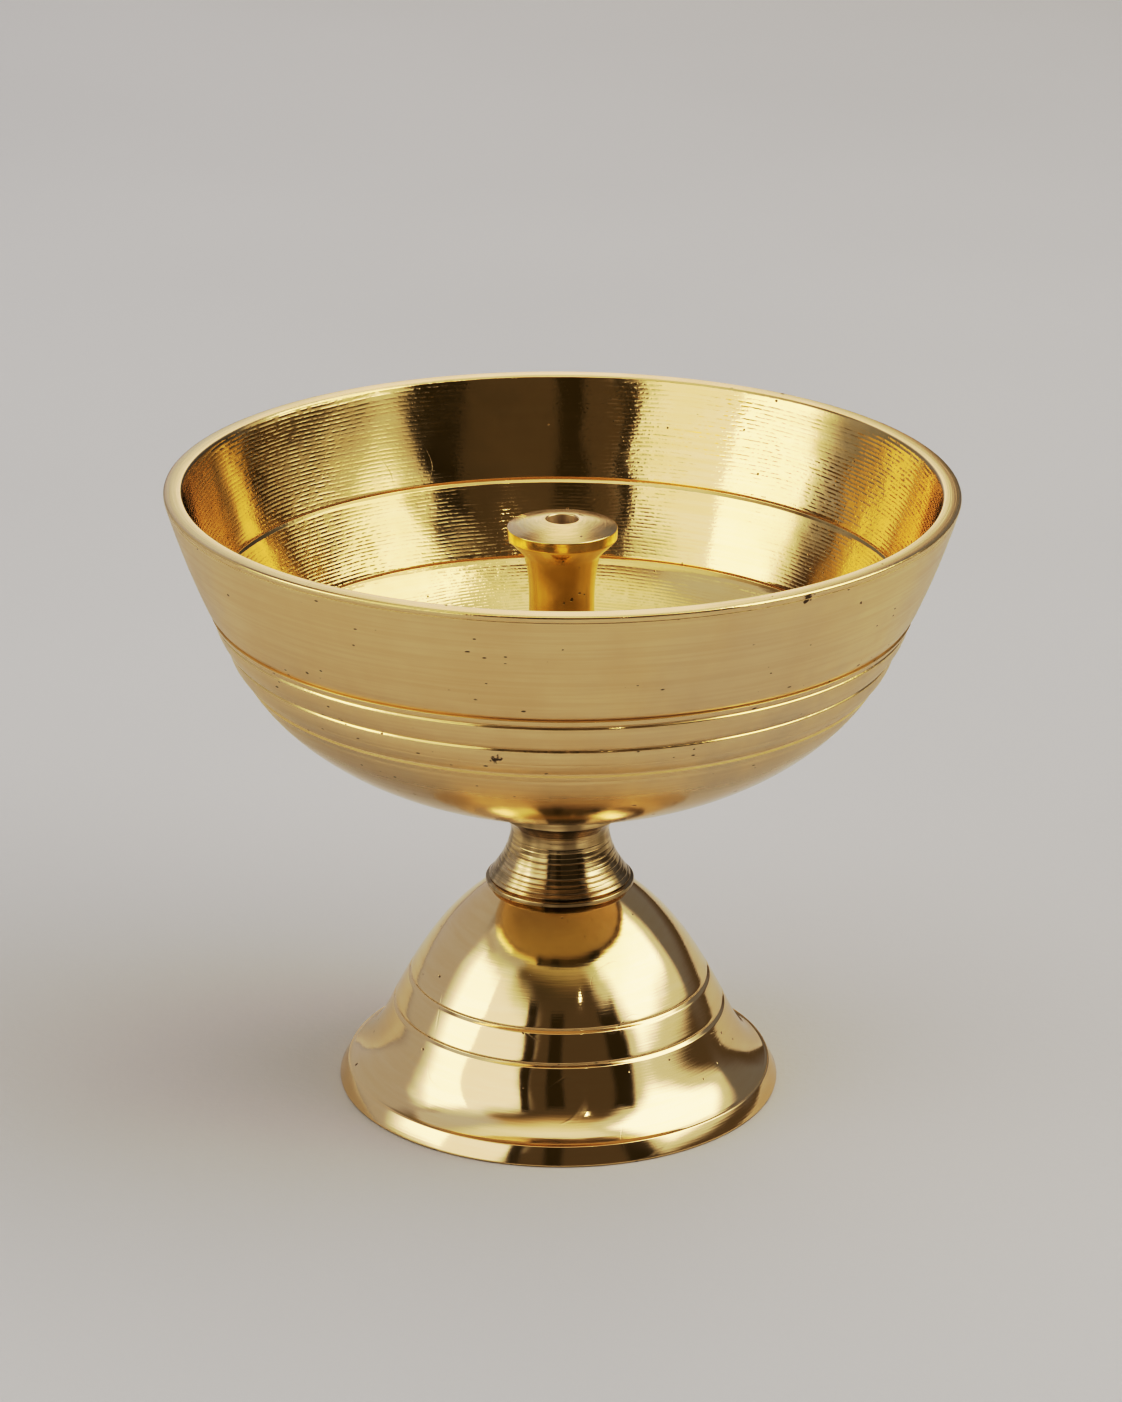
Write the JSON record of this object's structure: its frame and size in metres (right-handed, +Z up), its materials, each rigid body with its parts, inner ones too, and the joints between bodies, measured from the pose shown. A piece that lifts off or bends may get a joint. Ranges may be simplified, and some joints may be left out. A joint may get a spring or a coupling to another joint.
{
  "type": "oil lamp",
  "caption": "Footed brass oil lamp: a wide turned bowl with grooved bands and a lift-out wick post, on a waisted neck and a hollow bell foot.",
  "frame": {"origin": "centre of the ring that the foot rests on", "axes": "+Z up along the axis of the lamp, towards the rim; X and Y alike"},
  "size_m": [0.1, 0.1, 0.081],
  "materials": {
    "bowl": "satin turned outside, polished inside",
    "wick_post": "polished, turned disc face",
    "neck": "rough turned rings, darkened",
    "foot": "mirror polished with a turned edge",
    "fasteners": "plain zinc-plated steel"
  },
  "bodies": {
    "lamp": {"bowl": "bowl", "neck": "neck", "foot": "foot", "tie_stud": "fasteners", "washer": "fasteners", "nut": "fasteners"},
    "post": {"wick_post": "wick_post"}
  },
  "joints": [
    {"name": "post_lift", "type": "slide", "parent": "lamp", "child": "post", "axis": [0, 0, 1], "range_m": [0, 0.045]}
  ]
}
